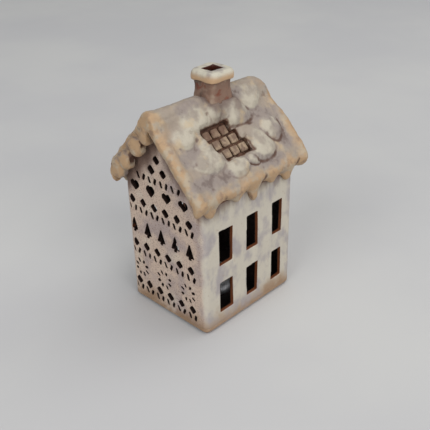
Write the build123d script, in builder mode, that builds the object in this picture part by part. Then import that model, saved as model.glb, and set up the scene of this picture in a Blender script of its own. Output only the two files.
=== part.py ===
import os
from math import cos, radians, sin, sqrt, tan

from build123d import *

os.makedirs("parts", exist_ok=True)

# Driving sizes in millimetres and degrees; the origin is the middle of the foot, the front gable faces -Y

# Shell of clay slabs
house_width = 90.0
house_depth = 106.0
wall_height = 118.0
wall_thickness = 4.0
corner_radius = 5.0
inner_corner_radius = 3.0
floor_thickness = 5.0
floor_hole_gap = 1.0
foot_bevel = 2.5

# Roof slabs
roof_angle = 47.0
slab_thickness = 5.0
eave_overhang = 1.5
verge_overhang = 4.0

# Windows in the side walls
window_width = 13.5
window_height = 29.5
window_spacing = 31.0
window_row_spacing = 46.6
window_shift = 2.3
window_middle_height = 52.5

# Piercing in the front gable
pattern_shift = -4.0
diamond_side = 5.2
diamond_spacing = 13.3
slot_length = 5.2
slot_width = 1.7
slot_lean = 18.0
slot_spacing = 6.65
heart_side = 5.9
heart_spacing = 18.7
tree_height = 12.6
tree_width = 8.9
trunk_height = 2.4
trunk_width = 2.5
tree_spacing = 16.7
nick_width = 3.4
nick_height = 3.6
star_ring_radius = 6.9
star_slot_length = 3.2
star_slot_width = 1.5
star_spacing = 28.5
top_diamond_height = 142.8
pair_diamond_height = 132.8
top_slot_height = 123.3
heart_height = 112.0
upper_diamond_height = 98.9
upper_slot_height = 91.0
tree_base_height = 69.2
middle_diamond_height = 57.0
middle_slot_height = 49.2
star_height = 32.8
lower_diamond_height = 18.6
lower_slot_height = 11.7

# Snow on the slopes
snow_thickness = 5.0
ridge_roll_radius = 7.5
ridge_roll_lift = 2.9
pat_thickness = 3.0
pat_taper = 38.0

# Bare tiles
tile_size = 7.6
tile_spacing = 9.1
tile_thickness = 3.0
tile_patch_along = -6.0
tile_patch_down = 33.0
patch_margin = 1.6

# Snow on the eaves
eave_round = 8.0
eave_reach = 6.5
eave_joint_step = 2.5
drip_width = 13.0
drip_depth = 4.5
drip_taper = 18.0

# Snow on the verges
verge_depth = 8.0
verge_rim = 1.5
verge_lift = 3.5
verge_bevel = 2.5
lump_length = 19.0
lump_height = 17.0
lump_lift = 4.0
lump_rise = 2.0
lump_taper = 45.0

# Chimney
chimney_width = 23.0
chimney_corner_radius = 3.5
chimney_along = 6.0
chimney_top = 197.0
flue_width = 10.0
flue_depth = 12.0
cap_width = 27.5
cap_corner_radius = 6.5
cap_thickness = 4.6
cap_lip = 3.0
cap_bevel = 2.4

# Tealight
cup_diameter = 38.0
cup_height = 15.5
cup_wall = 0.4
cup_lip = 0.6
wax_depth = 12.5
sustainer_diameter = 13.0
sustainer_thickness = 0.4
crimp_diameter = 3.0
crimp_height = 3.5
wick_diameter = 1.6
wick_length = 21.0

# Fits
clearance = 0.1
overrun = 2.0

# Numbers of holes, windows, tiles and facets
zigzag_count = 12
short_zigzag_count = 8
star_slot_count = 8
window_columns = 3
window_rows = 2
tile_rows = 3
tile_columns = 3
pellet_sides = 14

# Snow pats as shares: along the half ridge, down the slope, length and width of the slope
right_pat_shares = [
    (-0.47, 0.14, 0.42, 0.28),
    (-0.09, 0.17, 0.18, 0.17),
    (0.25, 0.23, 0.41, 0.28),
    (-0.75, 0.28, 0.31, 0.25),
    (-0.51, 0.44, 0.18, 0.18),
    (-0.58, 0.62, 0.40, 0.28),
    (-0.17, 0.79, 0.31, 0.24),
    (0.13, 0.77, 0.19, 0.18),
    (0.38, 0.67, 0.34, 0.38),
    (0.72, 0.52, 0.27, 0.32),
    (0.64, 0.10, 0.34, 0.28),
]
left_pat_shares = [
    (0.48, 0.18, 0.42, 0.28),
    (-0.30, 0.22, 0.40, 0.26),
    (-0.72, 0.34, 0.30, 0.28),
    (0.72, 0.50, 0.28, 0.32),
    (0.30, 0.50, 0.38, 0.30),
    (-0.12, 0.54, 0.34, 0.34),
    (-0.54, 0.66, 0.38, 0.30),
    (0.50, 0.80, 0.34, 0.24),
    (0.08, 0.84, 0.30, 0.22),
]

# Drips along the eave as shares: along the half eave, drop of the wall height, width of drip_width
drip_shares = [
    (-0.84, 0.085, 1.15),
    (-0.33, 0.055, 1.10),
    (0.02, 0.125, 1.10),
    (0.38, 0.050, 0.85),
    (0.72, 0.090, 1.15),
]

# Lumps down the front left verge as shares of the slope
lump_shares = [0.13, 0.37, 0.61, 0.85]

# Derived sizes
half_width = house_width / 2
half_depth = house_depth / 2
cup_radius = cup_diameter / 2
rise_per_run = tan(radians(roof_angle))
per_plumb = 1 / cos(radians(roof_angle))
apex_under = wall_height + half_width * rise_per_run
slab_rise = slab_thickness * per_plumb
snow_rise = snow_thickness * per_plumb
eave_x = half_width + eave_overhang
roof_half_length = half_depth + verge_overhang
slope_length = eave_x * per_plumb
apex_slab = apex_under + slab_rise
apex_snow = apex_slab + snow_rise
snow_end_x = eave_x - eave_joint_step
eave_top = apex_snow - snow_end_x * rise_per_run
eave_middle_x = half_width + eave_reach - eave_round
eave_touch_x = eave_middle_x + eave_round * sin(radians(roof_angle))
eave_touch = apex_snow - eave_touch_x * rise_per_run
eave_middle = eave_touch - eave_round * cos(radians(roof_angle))
eave_foot = eave_middle - sqrt(eave_round**2 - (half_width - eave_middle_x) ** 2)


def under_height(x):
    """Height of the roof slabs' underside at x on the right-hand slope."""
    return apex_under - x * rise_per_run


def right_slope(along, down, lift):
    """Plane at a place on the right slope, lifted off the slab: X runs to the rear, Y up the slope, Z out."""
    pitch = radians(roof_angle)
    origin = (
        down * cos(pitch) + lift * sin(pitch),
        along,
        apex_slab - down * sin(pitch) + lift * cos(pitch),
    )
    return Plane(origin=origin, x_dir=(0, 1, 0), z_dir=(sin(pitch), 0, cos(pitch)))


def pellet(length, width):
    """Outline of a hand-pressed pellet of clay: straight facets round an oval."""
    turns = [radians(360 * side / pellet_sides) for side in range(pellet_sides)]
    Polygon(*[(length / 2 * cos(turn), width / 2 * sin(turn)) for turn in turns], align=None)


def tongue(width, drop):
    """Outline of a drip of clay: half an oval below its own X axis, in straight facets."""
    turns = [radians(180 + 360 * side / pellet_sides) for side in range(pellet_sides // 2 + 1)]
    Polygon(*[(width / 2 * cos(turn), drop * sin(turn)) for turn in turns], align=None)


def verge(lumped):
    """Roll of snow on the front end of the right slope, set back behind rounded lumps or plain."""
    rim_depth = verge_depth - lump_rise if lumped else verge_depth
    reach = eave_round + verge_rim
    rim_top = apex_snow + verge_rim * per_plumb
    rim_under = apex_under + verge_lift * per_plumb
    touch_x = eave_middle_x + reach * sin(radians(roof_angle))
    foot = eave_middle - sqrt(reach**2 - (half_width - eave_middle_x) ** 2)
    end_face = Plane.XZ.offset(roof_half_length)
    slope_face = Plane(
        origin=(0, -roof_half_length, apex_under + lump_lift * per_plumb),
        x_dir=(1, 0, -rise_per_run),
        z_dir=(0, -1, 0),
    )
    with BuildPart() as rim:
        with BuildSketch(end_face):
            with BuildLine():
                Polyline(
                    (half_width, foot),
                    (half_width, rim_under - half_width * rise_per_run),
                    (0, rim_under),
                    (0, rim_top),
                    (touch_x, rim_top - touch_x * rise_per_run),
                )
                ThreePointArc(
                    (touch_x, rim_top - touch_x * rise_per_run),
                    (eave_middle_x + reach, eave_middle),
                    (half_width, foot),
                )
            make_face()
        extrude(amount=rim_depth)
        outer_edges = rim.edges().group_by(Axis.Y)[0].filter_by(lambda edge: edge.center().X > overrun)
        chamfer(outer_edges, length=verge_bevel)
        for lump_share in lump_shares if lumped else []:
            with BuildSketch(slope_face):
                with Locations((lump_share * slope_length, 0)):
                    pellet(lump_length, lump_height)
            extrude(amount=rim_depth)
            with BuildSketch(slope_face.offset(rim_depth)):
                with Locations((lump_share * slope_length, 0)):
                    pellet(lump_length, lump_height)
            extrude(amount=lump_rise, taper=lump_taper)
        split(bisect_by=Plane.YZ, keep=Keep.TOP)
    return rim.part


# Space over the walls and gables, up from the roof slabs' underside
with BuildPart() as over_roof:
    with BuildSketch(Plane.XZ):
        Polygon(
            (0, apex_under),
            (house_width, under_height(house_width)),
            (house_width, apex_under + house_width),
            (-house_width, apex_under + house_width),
            (-house_width, under_height(house_width)),
            align=None,
        )
    extrude(amount=house_depth, both=True)

# Right half of the house below the snow: room, wall and roof slab in one block
with BuildPart() as right_core:
    with BuildSketch(Plane.XZ):
        Polygon(
            (0, 0),
            (half_width, 0),
            (half_width, wall_height),
            (eave_x, under_height(eave_x)),
            (eave_x, under_height(eave_x) + slab_rise),
            (0, apex_slab),
            align=None,
        )
    extrude(amount=house_depth, both=True)

# Outside of the chimney, with and without room to slip the snow round it
with BuildPart() as chimney_block:
    with BuildSketch(Plane.XY.offset(wall_height)):
        with Locations((0, chimney_along)):
            RectangleRounded(chimney_width, chimney_width, chimney_corner_radius)
    extrude(amount=chimney_top - wall_height)

with BuildPart() as chimney_room:
    with BuildSketch(Plane.XY.offset(wall_height)):
        with Locations((0, chimney_along)):
            RectangleRounded(
                chimney_width + 2 * clearance,
                chimney_width + 2 * clearance,
                chimney_corner_radius + clearance,
            )
    extrude(amount=chimney_top - wall_height)

# Flue through the chimney and the ridge
with BuildPart() as flue:
    with BuildSketch(Plane.XY.offset(wall_height)):
        with Locations((0, chimney_along)):
            Rectangle(flue_width, flue_depth)
    extrude(amount=chimney_top + cap_thickness + overrun - wall_height)

# Ring of wall slabs standing on the floor, trimmed to the roof line
with BuildPart() as wall_ring:
    with BuildSketch(Plane.XY.offset(floor_thickness)):
        RectangleRounded(house_width, house_depth, corner_radius)
        RectangleRounded(
            house_width - 2 * wall_thickness,
            house_depth - 2 * wall_thickness,
            inner_corner_radius,
            mode=Mode.SUBTRACT,
        )
    extrude(amount=apex_under - floor_thickness)
    add(over_roof.part, mode=Mode.SUBTRACT)

# Floor slab with the round hole that lets the house down over a tealight
with BuildPart() as floor_slab:
    with BuildSketch():
        RectangleRounded(house_width, house_depth, corner_radius)
    extrude(amount=floor_thickness)
    chamfer(floor_slab.edges().group_by(Axis.Z)[0], length=foot_bevel)
    with BuildSketch():
        Circle(cup_radius + floor_hole_gap)
    extrude(amount=floor_thickness, mode=Mode.SUBTRACT)
floor_slab.part.label = "floor_slab"
export_step(floor_slab.part, "parts/floor_slab.step")

# Right wall, mitred at the corners, with its windows
mitre = corner_radius + wall_thickness
with BuildPart() as right_wall:
    add(wall_ring.part)
    with BuildSketch():
        Polygon(
            (half_width, half_depth),
            (half_width - mitre, half_depth - mitre),
            (half_width - mitre, mitre - half_depth),
            (half_width, -half_depth),
            align=None,
        )
    extrude(amount=apex_under, mode=Mode.INTERSECT)
    with BuildSketch(Plane.YZ.offset(half_width - wall_thickness / 2)):
        with Locations((window_shift, window_middle_height)):
            with GridLocations(window_spacing, window_row_spacing, window_columns, window_rows):
                Rectangle(window_width, window_height)
    extrude(amount=wall_thickness, both=True, mode=Mode.SUBTRACT)
right_wall.part.label = "right_wall"
export_step(right_wall.part, "parts/right_wall.step")

# Left wall
with BuildPart() as left_wall:
    mirror(right_wall.part, about=Plane.YZ)
left_wall.part.label = "left_wall"
export_step(left_wall.part, "parts/left_wall.step")

# Front gable, mitred at the corners and pierced with the rows of holes
with BuildPart() as front_gable:
    add(wall_ring.part)
    with BuildSketch():
        Polygon(
            (half_width, -half_depth),
            (half_width - mitre, mitre - half_depth),
            (mitre - half_width, mitre - half_depth),
            (-half_width, -half_depth),
            align=None,
        )
    extrude(amount=apex_under, mode=Mode.INTERSECT)
    with BuildSketch(Plane.XZ.offset(half_depth - wall_thickness / 2)):
        with Locations((pattern_shift, 0)):
            with Locations((0, top_diamond_height)):
                Rectangle(diamond_side, diamond_side, rotation=45)
            with Locations((0, pair_diamond_height)):
                with GridLocations(diamond_spacing, diamond_spacing, 2, 1):
                    Rectangle(diamond_side, diamond_side, rotation=45)
            for row_height in (upper_diamond_height, middle_diamond_height, lower_diamond_height):
                with Locations((0, row_height)):
                    with GridLocations(diamond_spacing, diamond_spacing, zigzag_count // 2, 1):
                        Rectangle(diamond_side, diamond_side, rotation=45)
            for row_height, row_count in (
                (top_slot_height, short_zigzag_count),
                (upper_slot_height, zigzag_count),
                (middle_slot_height, zigzag_count),
                (lower_slot_height, zigzag_count),
            ):
                for place in range(row_count):
                    lean = slot_lean if place % 2 == 0 else -slot_lean
                    with Locations(((place - (row_count - 1) / 2) * slot_spacing, row_height)):
                        Rectangle(slot_width, slot_length, rotation=lean)
            with Locations((0, heart_height)):
                with GridLocations(heart_spacing, heart_spacing, 4, 1):
                    Rectangle(heart_side, heart_side, rotation=45)
                    lobe = heart_side / sqrt(8)
                    with Locations((-lobe, lobe), (lobe, lobe)):
                        Circle(heart_side / 2)
            with Locations((0, tree_base_height)):
                with GridLocations(tree_spacing, tree_spacing, 5, 1):
                    Polygon(
                        (0, tree_height),
                        (-tree_width / 2, 0),
                        (-trunk_width / 2, 0),
                        (-trunk_width / 2, -trunk_height),
                        (trunk_width / 2, -trunk_height),
                        (trunk_width / 2, 0),
                        (tree_width / 2, 0),
                        align=None,
                    )
                with Locations((tree_spacing + nick_width / 2, tree_height / 2)):
                    with Locations((nick_width / 4, 0)):
                        Rectangle(nick_width, nick_height, mode=Mode.SUBTRACT)
            with Locations((0, star_height)):
                with GridLocations(star_spacing, star_spacing, 3, 1):
                    with PolarLocations(star_ring_radius, star_slot_count, start_angle=180 / star_slot_count):
                        Rectangle(star_slot_length, star_slot_width)
    extrude(amount=wall_thickness, both=True, mode=Mode.SUBTRACT)
front_gable.part.label = "front_gable"
export_step(front_gable.part, "parts/front_gable.step")

# Rear gable, left plain
with BuildPart() as rear_gable:
    add(wall_ring.part)
    with BuildSketch():
        Polygon(
            (half_width, half_depth),
            (-half_width, half_depth),
            (mitre - half_width, half_depth - mitre),
            (half_width - mitre, half_depth - mitre),
            align=None,
        )
    extrude(amount=apex_under, mode=Mode.INTERSECT)
rear_gable.part.label = "rear_gable"
export_step(rear_gable.part, "parts/rear_gable.step")

# Right roof slab, plumb cut at the ridge and the eave
with BuildPart() as right_roof_slab:
    with BuildSketch(Plane.XZ):
        Polygon(
            (0, apex_under),
            (eave_x, under_height(eave_x)),
            (eave_x, under_height(eave_x) + slab_rise),
            (0, apex_slab),
            align=None,
        )
    extrude(amount=roof_half_length, both=True)
    add(flue.part, mode=Mode.SUBTRACT)
right_roof_slab.part.label = "right_roof_slab"
export_step(right_roof_slab.part, "parts/right_roof_slab.step")

# Left roof slab
with BuildPart() as left_roof_slab:
    mirror(right_roof_slab.part, about=Plane.YZ)
left_roof_slab.part.label = "left_roof_slab"
export_step(left_roof_slab.part, "parts/left_roof_slab.step")

# Right eave: snow rounded over the slab's edge, with drips lying down the wall
with BuildPart() as right_eave:
    with BuildSketch(Plane.XZ):
        with BuildLine():
            Polyline(
                (half_width, eave_foot),
                (half_width, wall_height),
                (snow_end_x, wall_height),
                (snow_end_x, eave_top),
                (eave_touch_x, eave_touch),
            )
            ThreePointArc(
                (eave_touch_x, eave_touch),
                (half_width + eave_reach, eave_middle),
                (half_width, eave_foot),
            )
        make_face()
    extrude(amount=roof_half_length, both=True)
    for along_share, drop_share, width_share in drip_shares:
        drop = eave_middle - wall_height + drop_share * wall_height
        with BuildSketch(Plane.YZ.offset(half_width)):
            with Locations((along_share * roof_half_length, eave_middle)):
                tongue(width_share * drip_width, drop)
        extrude(amount=drip_depth, taper=drip_taper)
    add(right_core.part, mode=Mode.SUBTRACT)
right_eave.part.label = "right_eave"
export_step(right_eave.part, "parts/right_eave.step")

# Left eave
with BuildPart() as left_eave:
    mirror(right_eave.part, about=Plane.YZ)
left_eave.part.label = "left_eave"
export_step(left_eave.part, "parts/left_eave.step")

# Snow on a slope before its pats: a sheet of clay with half of the ridge roll
with BuildPart() as snow_sheet:
    with BuildSketch(Plane.XZ):
        Polygon(
            (0, apex_slab),
            (snow_end_x, apex_slab - snow_end_x * rise_per_run),
            (snow_end_x, apex_snow - snow_end_x * rise_per_run),
            (0, apex_snow),
            align=None,
        )
        with Locations((0, apex_slab + ridge_roll_lift)):
            Circle(ridge_roll_radius)
    extrude(amount=roof_half_length, both=True)
    split(bisect_by=Plane.YZ, keep=Keep.TOP)
    add(right_core.part, mode=Mode.SUBTRACT)

# Right snow, with its pats, the opening over the bare tiles and a place for the chimney
with BuildPart() as right_snow:
    add(snow_sheet.part)
    patch_plane = right_slope(tile_patch_along, tile_patch_down, 0)
    with BuildSketch(patch_plane):
        for row in range(tile_rows):
            step = (row - (tile_rows - 1) / 2) * tile_spacing
            with Locations((step / 2, -step)):
                Rectangle(tile_columns * tile_spacing + patch_margin, tile_spacing + 2 * patch_margin)
    extrude(amount=snow_thickness + overrun, mode=Mode.SUBTRACT)
    for along_share, down_share, length_share, width_share in right_pat_shares:
        along = along_share * roof_half_length
        down = down_share * slope_length
        with BuildSketch(right_slope(along, down, snow_thickness)):
            pellet(length_share * slope_length, width_share * slope_length)
        extrude(amount=pat_thickness, taper=pat_taper)
    split(bisect_by=Plane.YZ, keep=Keep.TOP)
    add(right_eave.part, mode=Mode.SUBTRACT)
    add(chimney_room.part, mode=Mode.SUBTRACT)
right_snow.part.label = "right_snow"
export_step(right_snow.part, "parts/right_snow.step")

# Left snow, made on the right slope and mirrored over
with BuildPart() as left_snow_form:
    add(snow_sheet.part)
    for along_share, down_share, length_share, width_share in left_pat_shares:
        along = along_share * roof_half_length
        down = down_share * slope_length
        with BuildSketch(right_slope(along, down, snow_thickness)):
            pellet(length_share * slope_length, width_share * slope_length)
        extrude(amount=pat_thickness, taper=pat_taper)
    split(bisect_by=Plane.YZ, keep=Keep.TOP)
    add(right_eave.part, mode=Mode.SUBTRACT)
    add(chimney_room.part, mode=Mode.SUBTRACT)

with BuildPart() as left_snow:
    mirror(left_snow_form.part, about=Plane.YZ)
left_snow.part.label = "left_snow"
export_step(left_snow.part, "parts/left_snow.step")

# Bare roof tiles in staggered rows
with BuildPart() as roof_tiles:
    with BuildSketch(patch_plane):
        for row in range(tile_rows):
            step = (row - (tile_rows - 1) / 2) * tile_spacing
            with Locations((step / 2, -step)):
                with GridLocations(tile_spacing, tile_spacing, tile_columns, 1):
                    Rectangle(tile_size, tile_size)
    extrude(amount=tile_thickness)
roof_tiles.part.label = "roof_tiles"
export_step(roof_tiles.part, "parts/roof_tiles.step")

# Front verges: a plain roll on the right, a row of lumps on the left
with BuildPart() as front_right_verge:
    add(verge(False))
front_right_verge.part.label = "front_right_verge"
export_step(front_right_verge.part, "parts/front_right_verge.step")

with BuildPart() as front_left_verge:
    mirror(verge(True), about=Plane.YZ)
front_left_verge.part.label = "front_left_verge"
export_step(front_left_verge.part, "parts/front_left_verge.step")

# Rear verges, plain
with BuildPart() as rear_right_verge:
    mirror(front_right_verge.part, about=Plane.XZ)
rear_right_verge.part.label = "rear_right_verge"
export_step(rear_right_verge.part, "parts/rear_right_verge.step")

with BuildPart() as rear_left_verge:
    mirror(rear_right_verge.part, about=Plane.YZ)
rear_left_verge.part.label = "rear_left_verge"
export_step(rear_left_verge.part, "parts/rear_left_verge.step")

# Chimney stack, cut to sit astride the ridge, with its flue
with BuildPart() as chimney:
    add(chimney_block.part)
    add(right_core.part, mode=Mode.SUBTRACT)
    add(mirror(right_core.part, about=Plane.YZ, mode=Mode.PRIVATE), mode=Mode.SUBTRACT)
    add(flue.part, mode=Mode.SUBTRACT)
chimney.part.label = "chimney"
export_step(chimney.part, "parts/chimney.step")

# Snow cap let down over the top of the chimney
with BuildPart() as chimney_snow:
    with BuildSketch(Plane.XY.offset(chimney_top - cap_lip)):
        with Locations((0, chimney_along)):
            RectangleRounded(cap_width, cap_width, cap_corner_radius)
    extrude(amount=cap_lip + cap_thickness)
    chamfer(chimney_snow.edges().group_by(Axis.Z)[-1], length=cap_bevel)
    add(chimney_room.part, mode=Mode.SUBTRACT)
    add(flue.part, mode=Mode.SUBTRACT)
chimney_snow.part.label = "chimney_snow"
export_step(chimney_snow.part, "parts/chimney_snow.step")

# Tealight cup of thin drawn metal with a turned lip, standing on the table in the floor's hole
with BuildPart() as tealight_cup:
    with BuildSketch(Plane.XZ):
        Polygon(
            (0, 0),
            (cup_radius - cup_lip, 0),
            (cup_radius - cup_lip, cup_height - cup_wall),
            (cup_radius, cup_height - cup_wall),
            (cup_radius, cup_height),
            (cup_radius - cup_lip - cup_wall, cup_height),
            (cup_radius - cup_lip - cup_wall, cup_wall),
            (0, cup_wall),
            align=None,
        )
    revolve(axis=Axis.Z)
tealight_cup.part.label = "tealight_cup"
export_step(tealight_cup.part, "parts/tealight_cup.step")

# Wick sustainer: a thin disc with a crimped tube, standing on the cup's floor
with BuildPart() as wick_sustainer:
    with BuildSketch(Plane.XY.offset(cup_wall)):
        Circle(sustainer_diameter / 2)
        Circle(wick_diameter / 2 + clearance, mode=Mode.SUBTRACT)
    extrude(amount=sustainer_thickness)
    with BuildSketch(Plane.XY.offset(cup_wall + sustainer_thickness)):
        Circle(crimp_diameter / 2)
        Circle(wick_diameter / 2 + clearance, mode=Mode.SUBTRACT)
    extrude(amount=crimp_height)
wick_sustainer.part.label = "wick_sustainer"
export_step(wick_sustainer.part, "parts/wick_sustainer.step")

# Wick through the sustainer and the wax
with BuildPart() as wick:
    with BuildSketch(Plane.XY.offset(cup_wall)):
        Circle(wick_diameter / 2)
    extrude(amount=wick_length)
wick.part.label = "wick"
export_step(wick.part, "parts/wick.step")

# Wax, cast round the sustainer and the wick
with BuildPart() as tealight_wax:
    with BuildSketch(Plane.XY.offset(cup_wall)):
        Circle(cup_radius - cup_lip - cup_wall - clearance)
    extrude(amount=wax_depth)
    with BuildSketch(Plane.XY.offset(cup_wall)):
        Circle(sustainer_diameter / 2 + clearance)
    extrude(amount=sustainer_thickness + clearance, mode=Mode.SUBTRACT)
    with BuildSketch(Plane.XY.offset(cup_wall)):
        Circle(crimp_diameter / 2 + clearance)
    extrude(amount=sustainer_thickness + crimp_height + clearance, mode=Mode.SUBTRACT)
    with BuildSketch(Plane.XY.offset(cup_wall)):
        Circle(wick_diameter / 2 + clearance)
    extrude(amount=wax_depth + overrun, mode=Mode.SUBTRACT)
tealight_wax.part.label = "tealight_wax"
export_step(tealight_wax.part, "parts/tealight_wax.step")
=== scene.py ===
import math

import bmesh
import bpy
import numpy as np
from mathutils import Matrix, Quaternion, Vector


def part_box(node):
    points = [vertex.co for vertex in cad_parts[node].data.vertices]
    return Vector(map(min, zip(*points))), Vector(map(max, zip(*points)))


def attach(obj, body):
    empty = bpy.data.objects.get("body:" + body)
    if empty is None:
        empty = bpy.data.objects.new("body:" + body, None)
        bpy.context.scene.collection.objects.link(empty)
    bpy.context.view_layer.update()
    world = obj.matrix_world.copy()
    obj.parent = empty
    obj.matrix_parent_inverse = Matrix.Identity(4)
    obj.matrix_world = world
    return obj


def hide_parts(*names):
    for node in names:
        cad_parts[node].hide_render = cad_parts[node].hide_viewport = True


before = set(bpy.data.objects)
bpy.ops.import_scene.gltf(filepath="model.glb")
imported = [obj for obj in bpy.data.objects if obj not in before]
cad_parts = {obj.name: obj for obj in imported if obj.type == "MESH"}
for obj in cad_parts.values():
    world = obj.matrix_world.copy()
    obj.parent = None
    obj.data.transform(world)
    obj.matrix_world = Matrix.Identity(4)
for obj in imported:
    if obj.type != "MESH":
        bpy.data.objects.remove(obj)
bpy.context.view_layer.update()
scene = bpy.context.scene
scene.view_settings.view_transform = "Standard"

# Camera: a long lens that looks down on the right front corner of the house, turned a little
# clockwise, as in the photograph.
camera_azimuth = math.radians(45.0)
camera_elevation = math.radians(29.6)
camera_roll = math.radians(-1.5)
camera_distance = 0.6189
camera_lens = 56.7
camera_aim = Vector((-0.0236, 0.0285, 0.0534))
camera_back = Vector(
    (
        math.sin(camera_azimuth) * math.cos(camera_elevation),
        -math.cos(camera_azimuth) * math.cos(camera_elevation),
        math.sin(camera_elevation),
    )
)
camera_turn = (-camera_back).to_track_quat("-Z", "Y") @ Quaternion((0, 0, 1), camera_roll)
camera = bpy.data.objects.new("camera", bpy.data.cameras.new("camera"))
camera.data.lens = camera_lens
camera.location = camera_aim + camera_distance * camera_back
camera.rotation_mode = "QUATERNION"
camera.rotation_quaternion = camera_turn
scene.collection.objects.link(camera)
scene.camera = camera

# Floor: a seamless sheet of pale studio paper under and behind the house, lying loose on the table.
# Its only detail is the faint cloudiness of matt paper.


def srgb(red, green, blue):
    """Linear colour from the 0 to 255 values of a picture."""
    return tuple(((part / 255 + 0.055) / 1.055) ** 2.4 for part in (red, green, blue)) + (1.0,)


def new_material(name, roughness):
    """New material with its node tree and a shader of this roughness."""
    material = bpy.data.materials.new(name)
    material.use_nodes = True
    tree = material.node_tree
    shader = tree.nodes["Principled BSDF"]
    shader.inputs["Roughness"].default_value = roughness
    shader.inputs["Specular IOR Level"].default_value = 0.3
    return material, tree, shader


def join(tree, value, socket):
    """Links a node's output into a socket, or sets a plain value there."""
    if isinstance(value, bpy.types.NodeSocket):
        tree.links.new(value, socket)
    else:
        socket.default_value = value


def noise(tree, size, detail=4.0, stretch=(1.0, 1.0, 1.0)):
    """Cloudy pattern from 0 to 1 in object coordinates, with patches of about this size in metres."""
    place = tree.nodes.new("ShaderNodeTexCoord")
    fit = tree.nodes.new("ShaderNodeMapping")
    fit.inputs["Scale"].default_value = [1 / (size * part) for part in stretch]
    cloud = tree.nodes.new("ShaderNodeTexNoise")
    cloud.inputs["Scale"].default_value = 1.0
    cloud.inputs["Detail"].default_value = detail
    tree.links.new(place.outputs["Object"], fit.inputs["Vector"])
    tree.links.new(fit.outputs["Vector"], cloud.inputs["Vector"])
    return cloud.outputs["Fac"]


def ramp(tree, value, low, high, top=1.0):
    """Soft step from 0 where the value is low to top where it is high."""
    step = tree.nodes.new("ShaderNodeMapRange")
    step.interpolation_type = "SMOOTHSTEP"
    step.inputs["From Min"].default_value = low
    step.inputs["From Max"].default_value = high
    step.inputs["To Max"].default_value = top
    join(tree, value, step.inputs["Value"])
    return step.outputs["Result"]


def paint(tree, under, colour, amount):
    """A colour laid over another by an amount from 0 to 1."""
    mix = tree.nodes.new("ShaderNodeMix")
    mix.data_type = "RGBA"
    join(tree, amount, mix.inputs[0])
    join(tree, under, mix.inputs[6])
    join(tree, colour, mix.inputs[7])
    return mix.outputs[2]


def new_piece(name, form):
    """New object in the scene from a bmesh, which is freed."""
    mesh = bpy.data.meshes.new(name)
    form.to_mesh(mesh)
    form.free()
    piece = bpy.data.objects.new(name, mesh)
    scene.collection.objects.link(piece)
    return piece


floor_size = 12.0
form = bmesh.new()
bmesh.ops.create_grid(form, x_segments=8, y_segments=8, size=floor_size / 2)
floor = new_piece("studio_paper", form)
material, tree, shader = new_material("studio_paper", 0.7)
tone = paint(tree, srgb(200, 199, 197), srgb(194, 193, 193), ramp(tree, noise(tree, 0.3), 0.35, 0.65))
join(tree, tone, shader.inputs["Base Color"])
floor.data.materials.append(material)

# Light: broad soft lamps before the front gable, on the right, overhead and, weaker, behind the
# house, in a pale and slightly blue room.
room_tone = (0.92, 0.96, 1.0, 1.0)
room_strength = 0.28
world = bpy.data.worlds.new("studio")
world.use_nodes = True
room = world.node_tree.nodes["Background"]
room.inputs["Color"].default_value = room_tone
room.inputs["Strength"].default_value = room_strength
scene.world = world
house_middle = Vector((0.0, 0.0, 0.08))
for lamp_name, place, width, power in (
    ("front_lamp", Vector((0.4, -2.9, 2.2)), 2.2, 47.0),
    ("right_lamp", Vector((2.8, -0.6, 2.0)), 2.2, 52.0),
    ("top_lamp", Vector((0.4, 0.8, 3.5)), 2.6, 42.0),
    ("back_lamp", Vector((1.4, 3.2, 2.4)), 2.2, 16.0),
):
    lamp = bpy.data.objects.new(lamp_name, bpy.data.lights.new(lamp_name, "AREA"))
    lamp.data.size = width
    lamp.data.energy = power
    lamp.location = place
    lamp.rotation_mode = "QUATERNION"
    lamp.rotation_quaternion = (house_middle - place).to_track_quat("-Z", "Y")
    scene.collection.objects.link(lamp)

# Clay shell: the floor slab and the four wall slabs, rolled from red-brown clay and pinched together
# at the corners while wet. It is softened as one form, and then cut into its slabs along their joints.
merge_reach = 0.000001


def cad_copy(name, *nodes):
    """New object with copies of these CAD nodes in one mesh, their doubled points merged."""
    form = bmesh.new()
    for node in nodes:
        form.from_mesh(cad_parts[node].data)
    bmesh.ops.remove_doubles(form, verts=form.verts, dist=merge_reach)
    return new_piece(name, form)


def points_of(piece):
    """The places of an object's mesh points, as rows."""
    places = np.empty(len(piece.data.vertices) * 3)
    piece.data.vertices.foreach_get("co", places)
    return places.reshape(-1, 3)


def move_points(piece, places):
    """Puts an object's mesh points at these places."""
    piece.data.vertices.foreach_set("co", places.ravel())
    piece.data.update()


def bake(piece):
    """Turns an object's modifiers into plain mesh."""
    graph = bpy.context.evaluated_depsgraph_get()
    mesh = bpy.data.meshes.new_from_object(piece.evaluated_get(graph))
    piece.modifiers.clear()
    piece.data = mesh


def normals_of(piece):
    """The directions that an object's mesh points face, as rows."""
    normals = np.empty(len(piece.data.vertices) * 3)
    piece.data.vertices.foreach_get("normal", normals)
    return normals.reshape(-1, 3)


def soften(piece, grain, rounds):
    """Rubs the edges of a sharp form round, as wet clay is; grain is the mesh size in metres."""
    remesh = piece.modifiers.new("remesh", "REMESH")
    remesh.mode = "VOXEL"
    remesh.voxel_size = grain
    rub = piece.modifiers.new("rub", "SMOOTH")
    rub.factor = 0.5
    rub.iterations = rounds
    bake(piece)


def dent(piece, *dents):
    """Makes a surface uneven by hand, with dents of these sizes and depths in metres."""
    for size, depth in dents:
        texture = bpy.data.textures.new("dents", "CLOUDS")
        texture.noise_scale = size
        press = piece.modifiers.new("dents", "DISPLACE")
        press.texture = texture
        press.texture_coords = "LOCAL"
        press.strength = depth
    bake(piece)


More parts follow.
